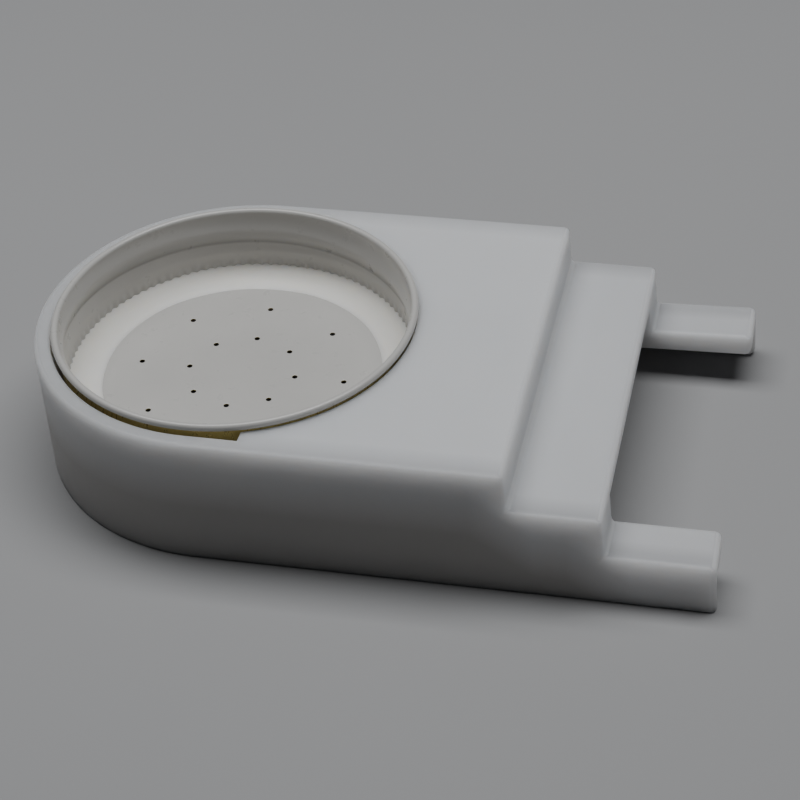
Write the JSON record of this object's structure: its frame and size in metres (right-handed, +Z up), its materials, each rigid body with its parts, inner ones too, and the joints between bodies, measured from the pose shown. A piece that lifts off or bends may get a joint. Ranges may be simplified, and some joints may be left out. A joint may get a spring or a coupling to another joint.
{
  "type": "hive entrance feeder",
  "caption": "Moulded plastic hive entrance feeder with a round end, a stepped shelf and prongs, holding a perforated steel jar cap mouth up.",
  "frame": {"origin": "centre of the footprint on the plane that the base stands on; the jar's axis stands 29.5 mm from it towards -X", "axes": "+Z up along the jar's axis, +X towards the hive and along the prongs, +Y to the left when looking along +X"},
  "size_m": [0.139, 0.08, 0.0295],
  "materials": {
    "base_plastic": "milky natural polyethylene, satin",
    "cap_enamel": "pale enamel inside, gold lacquer outside",
    "ring_plastisol": "soft satin cream"
  },
  "bodies": {
    "base": {"base_moulding": "base_plastic"},
    "cap": {"jar_cap": "cap_enamel", "sealing_ring": "ring_plastisol"}
  },
  "joints": [
    {"name": "cap_lift", "type": "slide", "parent": "base", "child": "cap", "axis": [0, 0, 1], "range_m": [0, 0.03]}
  ]
}
